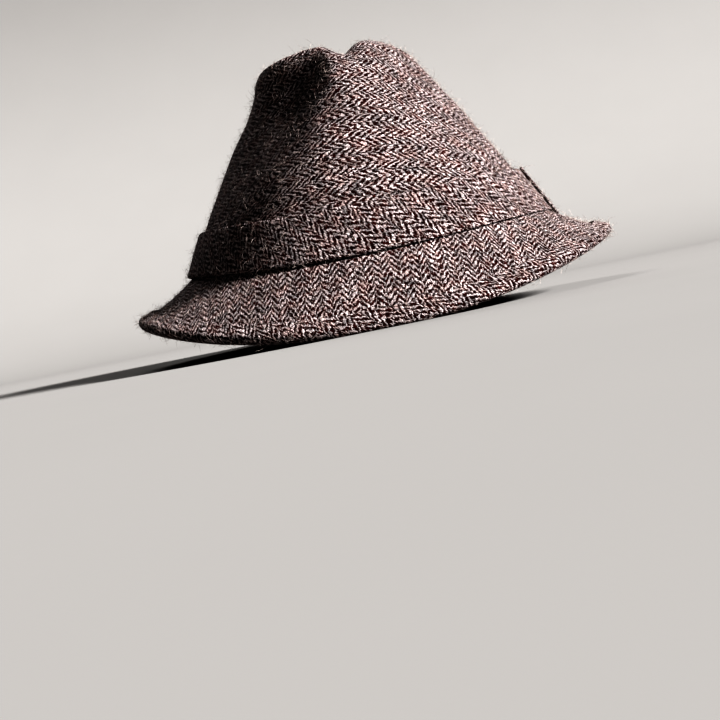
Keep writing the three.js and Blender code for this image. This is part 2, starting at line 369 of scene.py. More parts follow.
def cone_cloth(places, climb, cut, last_row=None):
    """Flat coordinates of a panel wrapped on a cone and centred at the hat's front: across it and inwards.
    Rows past the last one turn as it does, so that cloth pressed into the crease isn't drawn sideways."""
    seam = crown_points(ring_angles()[None, :], 0)
    reach = running_length(seam, 1)[0, -1] / (2 * math.pi * cut) - climb
    run = running_length(places, 1)
    front = RING_STEPS // 2
    turn = (run - run[:, front:front + 1]) / reach
    if last_row:
        turn[last_row:] = turn[last_row]
    return reach * np.sin(turn), reach * np.cos(turn)


def bias_cloth(along, up):
    """Flat coordinates of a strip cut on the bias, across its stripes and along them."""
    turn = math.radians(BIAS_ANGLE)
    across_stripes = along * math.sin(turn) + up * math.cos(turn)
    along_stripes = along * math.cos(turn) - up * math.sin(turn)
    return np.stack([across_stripes, along_stripes], axis=-1)


def back_seam(places):
    """How far a sewn seam at the back draws the cloth in."""
    run = running_length(places, 1)
    from_back = np.minimum(run, run[:, -1:] - run)
    return BACK_SEAM_DEPTH * np.exp(-(from_back / BACK_SEAM_SPAN) ** 2)


def swell_height(angle, rise):
    """Height of the small swells of soft cloth above the hatband."""
    waves = 0
    for swell in SWELLS:
        waves = waves + swell.share * np.sin(swell.turns * angle + swell.drift * rise + swell.start)
    return SWELL_HEIGHT * waves * np.clip((rise - SWELL_FROM) / (SWELL_FULL - SWELL_FROM), 0, 1)


def smooth_inside(mesh):
    """Smooths the top of a wall's inner face, where cloth pressed into the crease would cross itself."""
    count = len(mesh.vertices)
    places = np.zeros(count * 3, np.float32)
    mesh.vertices.foreach_get("co", places)
    inside = np.arange(count) >= count // 2
    bpy.ops.object.mode_set(mode="EDIT")
    bpy.ops.mesh.select_all(action="DESELECT")
    bpy.ops.object.mode_set(mode="OBJECT")
    mesh.vertices.foreach_set("select", inside & (places[2::3] > SMOOTH_ABOVE))
    bpy.ops.object.mode_set(mode="EDIT")
    bpy.ops.mesh.vertices_smooth(factor=SMOOTH_FACTOR, repeat=SMOOTH_REPEATS)
    bpy.ops.object.mode_set(mode="OBJECT")


def cloth_piece(name, places, cloth, material, wall=0):
    """A grid shaped to places in millimetres, with flat coordinates as UV map, closed and given a wall."""
    rows, columns = places.shape[:2]
    bpy.ops.object.select_all(action="DESELECT")
    bpy.ops.mesh.primitive_grid_add(x_subdivisions=columns - 1, y_subdivisions=rows - 1, size=1)
    piece = bpy.context.object
    piece.name = piece.data.name = name
    mesh = piece.data
    mesh.vertices.foreach_set("co", (places * MM).astype(np.float32).ravel())
    corners = np.zeros(len(mesh.loops), np.int32)
    mesh.loops.foreach_get("vertex_index", corners)
    layer = mesh.uv_layers.active
    layer.name = "cloth"
    layer.uv.foreach_set("vector", cloth.reshape(-1, 2)[corners].astype(np.float32).ravel())
    mesh.update()
    bpy.ops.object.mode_set(mode="EDIT")
    bpy.ops.mesh.select_all(action="SELECT")
    bpy.ops.mesh.remove_doubles(threshold=WELD_DISTANCE)
    bpy.ops.mesh.dissolve_degenerate(threshold=SLIVER_SIZE)
    bpy.ops.object.mode_set(mode="OBJECT")
    if wall:
        bpy.ops.object.modifier_add(type="SOLIDIFY")
        solidify = piece.modifiers[-1]
        solidify.thickness = wall
        solidify.offset = -1
        bpy.ops.object.modifier_apply(modifier=solidify.name)
        smooth_inside(mesh)
    bpy.ops.object.shade_smooth_by_angle(angle=SHARP_FOLD)
    mesh.materials.append(material)
    return piece


def dress(piece, slot, *nodes):
    """Lets a piece ride with the hat and hides the solids that it stands for. The slot is not used."""
    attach(piece, "root")
    if nodes:
        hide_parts(*nodes)


def add_node(tree, kind, settings=None, links=None):
    """Adds a node with its properties, input values, colour stops and links."""
    node = tree.nodes.new(kind)
    for name, value in (settings or {}).items():
        if name == "stops":
            ramp = node.color_ramp
            for _ in range(len(value) - len(ramp.elements)):
                ramp.elements.new(1)
            for element, (position, colour) in zip(ramp.elements, value):
                element.position = position
                element.color = (*colour, 1)
        elif name in node.inputs.keys() or isinstance(name, int):
            node.inputs[name].default_value = value
        else:
            setattr(node, name, value)
    for name, source in (links or {}).items():
        tree.links.new(source, node.inputs[name])
    return node


def add_noise(tree, place, length, detail, dimensions="2D"):
    """Adds a noise with features of about the given length."""
    settings = {"noise_dimensions": dimensions, "Scale": 1 / length, "Detail": detail}
    return add_node(tree, "ShaderNodeTexNoise", settings, {"Vector": place})


def add_surface(tree, settings, links):
    """Adds the surface shader and the material's output."""
    surface = add_node(tree, "ShaderNodeBsdfPrincipled", settings, links)
    add_node(tree, "ShaderNodeOutputMaterial", None, {"Surface": surface.outputs[0]})


def new_material(name):
    """An empty material, and the node tree to fill."""
    material = bpy.data.materials.new(name)
    material.use_nodes = True
    material.node_tree.nodes.clear()
    return material, material.node_tree


# Painted shade: the tone in the gaps between floats, and the painted highlight by which the crest of a float
# is paler
GAP_PAINTED_SHADE = 0.4
CREST_PAINTED_HIGHLIGHT = 0.72

# Weave arithmetic, one row for each step: its result, the operation and its inputs.
# A two-and-two twill steps over by a thread each row. At each stripe the zigzag turns it back and the twill
# is broken by half a repeat, so that pale floats meet dark ones there.
# Each yarn shows as floats over two threads, rounded across the yarn and drawn in at both ends. Its colour
# changes over a run in millimetres, and yarns lie apart in the noise, so that neighbours differ.
TWILL_REPEAT = 4
YARN_RUN = 16
YARN_APART = 7.3
WEAVE_STEPS = (
    ("cream_place", "DIVIDE", "across", "cream_spacing"),
    ("dark_place", "DIVIDE", "along", "dark_spacing"),
    ("cream", "FLOOR", "cream_place"),
    ("dark", "FLOOR", "dark_place"),
    ("in_dark", "FRACT", "dark_place"),
    ("folded", "PINGPONG", "cream_place", "stripe"),
    ("zigzag", "FLOOR", "folded"),
    ("in_cream", "FRACT", "folded"),
    ("stripes", "DIVIDE", "cream_place", "stripe"),
    ("stripe_number", "FLOOR", "stripes"),
    ("side", "FLOORED_MODULO", "stripe_number", 2),
    ("stepped", "ADD", "dark", "zigzag"),
    ("twill", "MULTIPLY_ADD", "side", TWILL_REPEAT / 2, "stepped"),
    ("turn", "FLOORED_MODULO", "twill", TWILL_REPEAT),
    ("cream_on_top", "GREATER_THAN", "turn", TWILL_REPEAT / 2 - 0.5),
    ("swap_step", "SUBTRACT", "in_cream", "in_dark"),
    ("in_thread", "MULTIPLY_ADD", "swap_step", "cream_on_top", "in_dark"),
    ("in_both", "ADD", "in_cream", "in_dark"),
    ("in_cell", "SUBTRACT", "in_both", "in_thread"),
    ("float_run", "ADD", "turn", "in_cell"),
    ("float_middle", "MULTIPLY_ADD", "cream_on_top", TWILL_REPEAT / 2, TWILL_REPEAT / 4),
    ("float_off", "SUBTRACT", "float_run", "float_middle"),
    ("in_float", "MULTIPLY_ADD", "float_off", "tilt", "in_thread"),
    ("float_arc", "MULTIPLY", "float_run", math.pi / 2),
    ("float_wave", "SINE", "float_arc"),
    ("float_swell", "ABSOLUTE", "float_wave"),
    ("thread_arc", "MULTIPLY", "in_float", math.pi),
    ("thread_wave", "SINE", "thread_arc"),
    ("thread_swell", "MAXIMUM", "thread_wave", 0),
    ("swell", "MULTIPLY", "float_swell", "thread_swell"),
    ("thread_round", "SQRT", "swell"),
    # Painted shade in the gaps and painted highlight on the crests, following each float's rounded shape
    ("gap_shade", "MULTIPLY_ADD", "swell", CREST_PAINTED_HIGHLIGHT, GAP_PAINTED_SHADE),
    ("repeats", "DIVIDE", "twill", TWILL_REPEAT),
    ("repeat", "FLOOR", "repeats"),
    ("yarn_step", "SUBTRACT", "cream", "dark"),
    ("yarn", "MULTIPLY_ADD", "yarn_step", "cream_on_top", "dark"),
    ("way_step", "SUBTRACT", "along", "across"),
    ("way", "MULTIPLY_ADD", "way_step", "cream_on_top", "across"),
    ("lane", "MULTIPLY", "yarn", YARN_APART),
    ("run", "DIVIDE", "way", YARN_RUN),
)

# Handwoven unevenness in millimetres, of whole rows and of single floats:
# how wide and long the uneven places are, and how far they stray across and along
Stray = namedtuple("Stray", "width length across along")
STRAYS = (Stray(2.4, 22, 0.6, 1.6), Stray(1.2, 1.6, 0.75, 1.2))

# Sizes in millimetres of the cloth's patches of colour and tone, and of the hairs that break up a thread
HUE_LENGTH = 6
PATCH_LENGTH = 14
FUZZ_LENGTH = 0.55

# How much a yarn's own hue adds to the cloth's, and where its lengths of other colours lie along that hue
YARN_HUE = 0.5
DARK_STOPS = (0.6, 0.82, 0.97)
CREAM_STOPS = (0.54, 0.64, 0.76, 0.9)

# Tones of single floats, yarns, hairs and patches: the range of the noise, and the tones at its ends
Tone = namedtuple("Tone", "low high darkest palest")
FLOAT_TONE = Tone(0, 1, 0.6, 1.1)
YARN_TONE = Tone(0.3, 0.65, 0.6, 1.15)
FUZZ_TONE = Tone(0.34, 0.6, 0.4, 1.15)
PATCH_TONE = Tone(0.3, 0.7, 0.85, 1.1)

# Height of a float's crest over the gaps, drawn higher than in the cloth so that the threads show
THREAD_HEIGHT = 1.0 * MM


def weave_values(tree, cloth, weave):
    """Adds the weave's arithmetic on slightly uneven rows, and gives its results by name."""
    place = cloth
    for stray in STRAYS:
        size = (1 / stray.width, 1 / stray.length, 0)
        reach = (2 * stray.across, 2 * stray.along, 0)
        rows = add_node(tree, "ShaderNodeVectorMath", {"operation": "MULTIPLY", 1: size}, {0: cloth})
        noise = add_noise(tree, rows.outputs[0], 1, 1)
        strayed = add_node(
            tree, "ShaderNodeVectorMath", {"operation": "MULTIPLY_ADD", 1: reach},
            {0: noise.outputs["Color"], 2: place},
        )
        place = strayed.outputs[0]
    axes = add_node(tree, "ShaderNodeSeparateXYZ", None, {0: place})
    values = {
        "across": axes.outputs["X"],
        "along": axes.outputs["Y"],
        "cream_spacing": weave.cream_spacing / MM,
        "dark_spacing": weave.dark_spacing / MM,
        "stripe": weave.stripe_threads,
        "tilt": weave.float_tilt,
    }
    for result, operation, *inputs in WEAVE_STEPS:
        given = {socket: values.get(value, value) for socket, value in enumerate(inputs)}
        numbers = {socket: value for socket, value in given.items() if isinstance(value, (int, float))}
        links = {socket: value for socket, value in given.items() if socket not in numbers}
        node = add_node(tree, "ShaderNodeMath", {"operation": operation, **numbers}, links)
        values[result] = node.outputs[0]
    return values


def yarn_colour(tree, cloth, cream_on_top, yarn_noise, weave):
    """Adds the yarns' colours, which change along a yarn and over the cloth, and gives the one on top."""
    yarn_hue = add_node(tree, "ShaderNodeSeparateColor", None, {0: yarn_noise.outputs["Color"]})
    cloth_hue = add_noise(tree, cloth, HUE_LENGTH, 2)
    hue = add_node(
        tree, "ShaderNodeMath", {"operation": "MULTIPLY_ADD", 1: YARN_HUE},
        {0: yarn_hue.outputs[1], 2: cloth_hue.outputs["Fac"]},
    )
    dark_yarns = (weave.dark_yarn, weave.umber_yarn, weave.rust_yarn)
    cream_yarns = (weave.slate_yarn, weave.cream_yarn, weave.cream_yarn, weave.rose_yarn)
    dark, cream = (
        add_node(tree, "ShaderNodeValToRGB", {"stops": list(zip(stops, yarns))}, {"Fac": hue.outputs[0]})
        for stops, yarns in ((DARK_STOPS, dark_yarns), (CREAM_STOPS, cream_yarns))
    )
    return add_node(
        tree, "ShaderNodeMix", {"data_type": "RGBA"},
        {0: cream_on_top, 6: dark.outputs["Color"], 7: cream.outputs["Color"]},
    )


def tweed(name, weave):
    """Tweed woven from carded wool in a twill that turns back every few threads. Dark and cream yarns show as
    short rounded strokes, uneven in colour, with painted shade in the gaps between them and a painted
    highlight on their crests, and the raised nap leaves it soft and wholly matt."""
    material, tree = new_material(name)
    cloth = add_node(tree, "ShaderNodeUVMap", {"uv_map": "cloth"}).outputs["UV"]
    values = weave_values(tree, cloth, weave)
    lane = add_node(tree, "ShaderNodeCombineXYZ", None, {"X": values["lane"], "Y": values["run"]})
    yarn_noise = add_noise(tree, lane.outputs[0], 1, 1)
    single = add_node(tree, "ShaderNodeCombineXYZ", None, {"X": values["cream"], "Y": values["repeat"]})
    float_noise = add_node(
        tree, "ShaderNodeTexWhiteNoise", {"noise_dimensions": "2D"}, {"Vector": single.outputs[0]},
    )
    fuzz = add_noise(tree, cloth, FUZZ_LENGTH, 1)
    patch = add_noise(tree, cloth, PATCH_LENGTH, 3)
    # The first multiplier is painted shade between floats with a painted highlight on their crests; the
    # others are random tones of floats, yarns, hairs and patches
    painted_shade_and_tones = [values["gap_shade"]]
    for noise, tone in (
        (float_noise.outputs["Value"], FLOAT_TONE),
        (yarn_noise.outputs["Fac"], YARN_TONE),
        (fuzz.outputs["Fac"], FUZZ_TONE),
        (patch.outputs["Fac"], PATCH_TONE),
    ):
        ends = {"From Min": tone.low, "From Max": tone.high, "To Min": tone.darkest, "To Max": tone.palest}
        shade = add_node(tree, "ShaderNodeMapRange", ends, {"Value": noise})
        painted_shade_and_tones.append(shade.outputs[0])
    toned = yarn_colour(tree, cloth, values["cream_on_top"], yarn_noise, weave)
    for shade in painted_shade_and_tones:
        toned = add_node(
            tree, "ShaderNodeMix", {"data_type": "RGBA", "blend_type": "MULTIPLY", 0: 1.0},
            {6: toned.outputs[2], 7: shade},
        )
    height = add_node(
        tree, "ShaderNodeMath", {"operation": "MULTIPLY"},
        {0: values["thread_round"], 1: fuzz.outputs["Fac"]},
    )
    bump = add_node(
        tree, "ShaderNodeBump", {"Strength": 1.0, "Distance": THREAD_HEIGHT}, {"Height": height.outputs[0]},
    )
    finish = {
        "Roughness": 0.95,
        "Specular IOR Level": 0.03,
        "Sheen Weight": 0.03,
        "Sheen Roughness": 0.4,
        "Sheen Tint": (*weave.rose_yarn, 1),
    }
    add_surface(tree, finish, {"Base Color": toned.outputs[2], "Normal": bump.outputs[0]})
    return material


def tweed_named(context, name):
    """The tweed of a name, made once and shared by its pieces."""
    return bpy.data.materials.get(name) or tweed(name, context.scene.fedora_weave)


class FEDORA_OT_crown(bpy.types.Operator):
    """Models the crown with its crease, its notch and the two front pinches"""

    bl_idname = "fedora.crown"
    bl_label = "Crown"

    def execute(self, context):
        angle = ring_angles()[None, :]
        station = np.linspace(0, CREASE_STATION, CROWN_ROWS + 1)[:, None]
        places = crown_points(angle, station)
        climb = running_length(places, 0) - (SEAM_SIDE_HEIGHT - seam_height(angle))
        ridge_row = CROWN_ROWS * RIDGE_STATION // CREASE_STATION
        across, inwards = cone_cloth(places, climb, CROWN_CUT, ridge_row)
        on_wall = np.clip(RIDGE_STATION - station, 0, 1)
        depth = (back_seam(places) - swell_height(angle, column_at("rise", station))) * on_wall
        places = places - crown_normals(angle, station) * depth[..., None]
        flat = np.stack([inwards, across], axis=-1)
        material = tweed_named(context, STRAIGHT_TWEED)
        piece = cloth_piece("tweed_crown", places, flat, material, context.scene.fedora_cloth.crown_wall)
        dress(piece, STRAIGHT_SLOT, "crown")
        return {"FINISHED"}


class FEDORA_OT_brim(bpy.types.Operator):
    """Models the two-layer brim from under the crown's foot out to its edge"""

    bl_idname = "fedora.brim"
    bl_label = "Brim"

    def execute(self, context):
        wall = context.scene.fedora_cloth.brim_wall / MM
        angle = ring_angles()[None, :]
        share = np.concatenate([[-1], np.linspace(0, 1, BRIM_ROWS + 1)])[:, None]
        width = brim_size(angle)[0]
        distance = np.where(share < 0, -BRIM_FLANGE, share * width)
        under = brim_places(angle, distance, wall)
        upper = brim_places(angle, distance[::-1], 0)
        upper[..., 2] -= back_seam(upper)
        places = np.concatenate([under, upper, under[:1]])
        reach = np.concatenate([distance, distance[::-1], distance[:1]])
        flat = np.stack(cone_cloth(places, -reach, BRIM_CUT), axis=-1)
        piece = cloth_piece("tweed_brim", places, flat, tweed_named(context, STRAIGHT_TWEED))
        dress(piece, STRAIGHT_SLOT, "brim")
        return {"FINISHED"}


def binding_face(angle, cloth, reach):
    """One face of the folded binding, from the under side round the edge to the upper side."""
    width, _, edge = brim_size(angle)
    middle = cloth.brim_wall / MM / 2
    lap = np.linspace(cloth.binding_lap / MM, 0, LAP_ROWS + 1)[:, None]
    under = brim_places(angle, width - lap, middle + reach)
    upper = brim_places(angle, width - lap[::-1], middle - reach)
    turn = math.pi * (np.linspace(0, 1, FOLD_ROWS + 1)[1:-1, None] - 0.5) - edge
    slope, outwards, fall = brim_run(angle, width)
    out = outwards - middle * np.sin(slope) + reach * np.cos(turn)
    height = seam_height(angle) - SEAM_GAP - fall - middle * np.cos(slope) + reach * np.sin(turn)
    return np.concatenate([under, seam_places(angle + 0 * out, out, height), upper])


class FEDORA_OT_brim_binding(bpy.types.Operator):
    """Models the bias strip folded round the brim's edge, pressed flat where the hat rests"""

    bl_idname = "fedora.brim_binding"
    bl_label = "Brim binding"

    def execute(self, context):
        cloth = context.scene.fedora_cloth
        angle = ring_angles()[None, :]
        inner_reach = cloth.brim_wall / MM / 2 + SEAM_GAP
        outer = binding_face(angle, cloth, inner_reach + cloth.binding_wall / MM)
        outer[..., 2] = np.maximum(0, outer[..., 2])
        inner = binding_face(angle, cloth, inner_reach)[::-1]
        places = np.concatenate([outer, inner, outer[:1]])
        flat = bias_cloth(running_length(places, 1)[LAP_ROWS:LAP_ROWS + 1], running_length(places, 0))
        piece = cloth_piece("bias_brim_binding", places, flat, tweed_named(context, BIAS_TWEED))
        dress(piece, BIAS_SLOT, "brim_binding")
        return {"FINISHED"}


def band_places(angle, cloth, depth, wall, slant):
    """A strip laid on the foot of the crown at a depth off its face, with both long edges folded round."""
    section = np.linalg.norm(crown_points(angle, 0 * angle + 1) - crown_points(angle, 0 * angle), axis=-1)
    fold = wall / 2 + 0 * angle
    low = BAND_FOOT + fold - slant * depth
    outer_low = low - slant * wall
    top = cloth.band_height / MM - fold
    turns = np.linspace(0, math.pi, FOLD_ROWS + 1)[1:-1]
    rows = [(height, depth + wall) for height in np.linspace(outer_low, top, BAND_ROWS + 1)]
    rows += [(top + fold * math.sin(turn), depth + fold + fold * math.cos(turn)) for turn in turns]
    rows += [(height, depth) for height in np.linspace(top, low, BAND_ROWS + 1)]
    for turn in turns:
        outwards = (1 - math.cos(turn)) / 2
        rows.append((low + (outer_low - low) * outwards - fold * math.sin(turn), depth + wall * outwards))
    strip = []
    for height, lift in [*rows, rows[0]]:
        station = height / section
        off_crown = crown_normals(angle, station) * (lift + 0 * angle)[..., None]
        strip.append(crown_points(angle, station) + off_crown)
    return np.concatenate(strip)


def band_piece(context, name, places):
    """Cuts a hatband piece on the bias along its places."""
    flat = bias_cloth(running_length(places[:1], 1), running_length(places, 0))
    return cloth_piece(name, places, flat, tweed_named(context, BIAS_TWEED))


class FEDORA_OT_hatband(bpy.types.Operator):
    """Models the bias-cut hatband round the foot of the crown"""

    bl_idname = "fedora.hatband"
    bl_label = "Hatband"

    def execute(self, context):
        cloth = context.scene.fedora_cloth
        under_tab = (cloth.tab_from + cloth.tab_to) / 2
        angle = ring_angles(under_tab)[None, :]
        lowered = near_angle(angle, math.degrees(under_tab), LOWERED_SPAN)
        slant = BAND_SLANT + (TAB_SLANT - BAND_SLANT) * lowered
        places = band_places(angle, cloth, SEAM_GAP, cloth.band_wall / MM, slant)
        dress(band_piece(context, "bias_hatband", places), BIAS_SLOT, "hatband")
        return {"FINISHED"}


class FEDORA_OT_hatband_tab(bpy.types.Operator):
    """Models the folded end of the hatband that lies on the band at the wearer's left"""

    bl_idname = "fedora.hatband_tab"
    bl_label = "Hatband tab"

    def execute(self, context):
        cloth = context.scene.fedora_cloth
        depth = 2 * SEAM_GAP + cloth.band_wall / MM
        share = (1 - np.cos(np.linspace(0, math.pi, TAB_STEPS + 1)[None, :])) / 2
        angle = cloth.tab_from + (cloth.tab_to - cloth.tab_from) * share
        from_end = np.minimum(share, 1 - share) / TAB_FOLD
        wall = cloth.tab_wall / MM * np.sqrt(1 - np.clip(1 - from_end, 0, 1) ** 2)
        places = band_places(angle, cloth, depth + (cloth.tab_wall / MM - wall) / 2, wall, TAB_SLANT)
        dress(band_piece(context, "bias_hatband_tab", places), BIAS_SLOT, "hatband_tab")
        return {"FINISHED"}


# Cloth pieces that carry fibres, with their finish. Fibres stand on faces that look away from a point in the
# hollow, and not where another piece lies this close over the face.
FIBRE_PIECES = {
    "tweed_crown": STRAIGHT_SLOT,
    "tweed_brim": STRAIGHT_SLOT,
    "bias_brim_binding": BIAS_SLOT,
    "bias_hatband": BIAS_SLOT,
    "bias_hatband_tab": BIAS_SLOT,
}
CROWN_MIDDLE = np.array([0, 0, 60 * MM])
COVER_GAP = 4 * MM

# A fibre is a bent line of points with a tube of three sides round it, rooted a little inside the cloth
FIBRE_POINTS = 4
FIBRE_SIDES = 3
FIBRE_ROOT = 0.1 * MM

# Spread of the fibres: shape and scale of their lengths and the shortest and longest, as shares of the usual
# length, the steepest lift off the cloth in degrees and how lifts are spread, and the curl in radians
LENGTH_SPREAD = (2.4, 0.42)
LENGTH_LIMITS = (0.3, 2.6)
STEEPEST_LIFT = 85
LIFT_SPREAD = (1.5, 1.8)
CURL_SPREAD = 1.1

# A fibre starts a little steeper than its lift, droops towards the tip and thins out
ROOT_RISE = 1.1
TIP_DROOP = 0.7
TIP_THINNING = 0.6

# Length over which fibres change colour, and where brown ends and pale starts in the noise
FIBRE_PATCH = 2 * MM
FIBRE_STOPS = (0.4, 0.6)


def wool_fibre(fibres):
    """Ends of wool that carding leaves loose in the yarn: fine matt hairs, pale ones among brown, that blur
    the cloth's outline. They are drawn several times as thick as real ones so that they show."""
    material, tree = new_material("wool_fibre")
    place = add_node(tree, "ShaderNodeTexCoord")
    spread = add_noise(tree, place.outputs["Object"], FIBRE_PATCH, 1, "3D")
    stops = list(zip(FIBRE_STOPS, (fibres.brown, fibres.pale)))
    colour = add_node(tree, "ShaderNodeValToRGB", {"stops": stops}, {"Fac": spread.outputs["Fac"]})
    add_surface(tree, {"Roughness": 0.8, "Specular IOR Level": 0.2}, {"Base Color": colour.outputs["Color"]})
    return material


def bare_faces(piece, others):
    """Middles, normals and areas of a piece's faces that look outwards with no other piece over them."""
    faces = piece.data.polygons
    middles = np.zeros(len(faces) * 3)
    normals = np.zeros(len(faces) * 3)
    areas = np.zeros(len(faces))
    faces.foreach_get("center", middles)
    faces.foreach_get("normal", normals)
    faces.foreach_get("area", areas)
    middles = middles.reshape(-1, 3)
    normals = normals.reshape(-1, 3)
    bare = np.einsum("ij,ij->i", middles - CROWN_MIDDLE, normals) > 0
    for face in np.flatnonzero(bare):
        start = Vector(middles[face])
        way = Vector(normals[face])
        bare[face] = all(other.ray_cast(start, way, COVER_GAP)[0] is None for other in others)
    return middles[bare], normals[bare], areas[bare]


def fibre_lines(middles, normals, areas, fibres, rng):
    """Points along curled fibres that stand on faces, with two directions across each, clear of the floor."""
    count = int(fibres.density * areas.sum() * SQUARE_CM_IN_SQUARE_M)
    chosen = rng.choice(len(areas), count, p=areas / areas.sum())
    normal = normals[chosen]
    side = np.cross(normal, rng.normal(size=(count, 3)))
    side /= np.linalg.norm(side, axis=1, keepdims=True)
    other = np.cross(normal, side)
    across = side * rng.uniform(-0.5, 0.5, (count, 1)) + other * rng.uniform(-0.5, 0.5, (count, 1))
    base = middles[chosen] - normal * FIBRE_ROOT + across * np.sqrt(areas[chosen])[:, None]
    length = fibres.length * np.clip(rng.gamma(*LENGTH_SPREAD, (count, 1)), *LENGTH_LIMITS)
    lift = math.radians(STEEPEST_LIFT) * rng.beta(*LIFT_SPREAD, (count, 1))
    curl = rng.normal(0, CURL_SPREAD, (count, 1))
    line = [base]
    for point in range(1, FIBRE_POINTS):
        share = point / (FIBRE_POINTS - 1)
        rise = lift * (ROOT_RISE - TIP_DROOP * share)
        level = side * np.cos(curl * share) + other * np.sin(curl * share)
        line.append(line[-1] + (level * np.cos(rise) + normal * np.sin(rise)) * length / (FIBRE_POINTS - 1))
    clear = np.min([middle[:, 2] for middle in line], axis=0) > fibres.thickness
    return [middle[clear] for middle in line], normal[clear], other[clear]


def tube_triangles():
    """Corners of one fibre's triangles: a tube closed at its root and drawn to a point at its tip."""
    tip = (FIBRE_POINTS - 1) * FIBRE_SIDES
    triangles = [(2, 1, 0)]
    for point in range(FIBRE_POINTS - 1):
        for corner in range(FIBRE_SIDES):
            here = point * FIBRE_SIDES + corner
            beside = point * FIBRE_SIDES + (corner + 1) % FIBRE_SIDES
            if point < FIBRE_POINTS - 2:
                triangles.append((here, beside, beside + FIBRE_SIDES))
                triangles.append((here, beside + FIBRE_SIDES, here + FIBRE_SIDES))
            else:
                triangles.append((here, beside, tip))
    return np.array(triangles)


def fibre_mesh(name, piece, others, fibres, rng):
    """Curled fibres standing on a piece's bare faces, each a thin tapered tube closed at both ends."""
    line, normal, other = fibre_lines(*bare_faces(piece, others), fibres, rng)
    rings = []
    for point, middle in enumerate(line[:-1]):
        radius = fibres.thickness / 2 * (1 - TIP_THINNING * point / (FIBRE_POINTS - 1))
        for corner in range(FIBRE_SIDES):
            turn = 2 * math.pi * corner / FIBRE_SIDES
            rings.append(middle + radius * (other * math.cos(turn) + normal * math.sin(turn)))
    vertices = np.stack([*rings, line[-1]], axis=1)
    count, corners = vertices.shape[:2]
    triangles = tube_triangles()[None] + corners * np.arange(count)[:, None, None]
    mesh = bpy.data.meshes.new(name)
    mesh.from_pydata(vertices.reshape(-1, 3), [], triangles.reshape(-1, 3))
    made = bpy.data.objects.new(name, mesh)
    bpy.context.scene.collection.objects.link(made)
    return made


class FEDORA_OT_fibres(bpy.types.Operator):
    """Scatters the loose wool fibres that give the tweed its fuzzy outline"""

    bl_idname = "fedora.fibres"
    bl_label = "Wool fibres"

    def execute(self, context):
        fibres = context.scene.fedora_fibres
        rng = np.random.default_rng(fibres.seed)
        material = wool_fibre(fibres)
        pieces = [context.scene.objects[name] for name in FIBRE_PIECES]
        trees = [BVHTree.FromObject(piece, context.evaluated_depsgraph_get()) for piece in pieces]
        for piece, tree in zip(pieces, trees):
            others = [other for other in trees if other is not tree]
            made = fibre_mesh(piece.name + "_fibres", piece, others, fibres, rng)
            made.data.materials.append(material)
            dress(made, FIBRE_PIECES[piece.name])
        return {"FINISHED"}


# Floor and backdrop in metres from the hat's middle. The floor lies a hair below the hat, clear of it.
FLOOR_FRONT = -2.5
FLOOR_BACK = 1.1
FLOOR_SIDE = 3
FLOOR_DROP = 0.1 * MM
BACKDROP_RADIUS = 0.7
BACKDROP_TOP = 1.0
BACKDROP_ROWS = 120
MOTTLE_LENGTH = 90 * MM

# Camera sensor in millimetres, and the nearest that the camera sees, in metres
SENSOR_WIDTH = 36
NEAR_CLIP = 0.01


def backdrop_profile():
    """Places along the floor, round the bend and up the backdrop, as depths and heights."""
    bend = BACKDROP_RADIUS * math.pi / 2
    runs = np.linspace(0, FLOOR_BACK - FLOOR_FRONT + bend + BACKDROP_TOP - BACKDROP_RADIUS, BACKDROP_ROWS)
    past = runs - (FLOOR_BACK - FLOOR_FRONT)
    turn = np.clip(past / BACKDROP_RADIUS, 0, math.pi / 2)
    depth = np.minimum(runs + FLOOR_FRONT, FLOOR_BACK) + BACKDROP_RADIUS * np.sin(turn)
    height = BACKDROP_RADIUS * (1 - np.cos(turn)) + np.maximum(0, past - bend)
    return depth, height


def painted_floor(stage):
    """Matt paint rolled onto board: even and pale, with the faintest mottling where the coats overlap."""
    material, tree = new_material("painted_floor")
    place = add_node(tree, "ShaderNodeTexCoord")
    mottle = add_noise(tree, place.outputs["Object"], MOTTLE_LENGTH, 2, "3D")
    tone = add_node(
        tree, "ShaderNodeMapRange", {"To Min": 0.97, "To Max": 1.0}, {"Value": mottle.outputs["Fac"]},
    )
    colour = add_node(
        tree, "ShaderNodeMix",
        {"data_type": "RGBA", "blend_type": "MULTIPLY", 0: 1.0, 6: (*stage.floor, 1)}, {7: tone.outputs[0]},
    )
    add_surface(tree, {"Roughness": 0.9, "Specular IOR Level": 0.0}, {"Base Color": colour.outputs[2]})
    return material


def add_floor(stage):
    """Models the floor that bends up into the backdrop."""
    bpy.ops.object.select_all(action="DESELECT")
    bpy.ops.mesh.primitive_grid_add(x_subdivisions=1, y_subdivisions=BACKDROP_ROWS - 1, size=1)
    floor = bpy.context.object
    floor.name = floor.data.name = "floor"
    depth, height = backdrop_profile()
    places = np.zeros((BACKDROP_ROWS, 2, 3), np.float32)
    places[..., 0] = [-FLOOR_SIDE, FLOOR_SIDE]
    places[..., 1] = depth[:, None]
    places[..., 2] = height[:, None] - FLOOR_DROP
    floor.data.vertices.foreach_set("co", places.ravel())
    floor.data.update()
    bpy.ops.object.shade_smooth()
    floor.data.materials.append(painted_floor(stage))


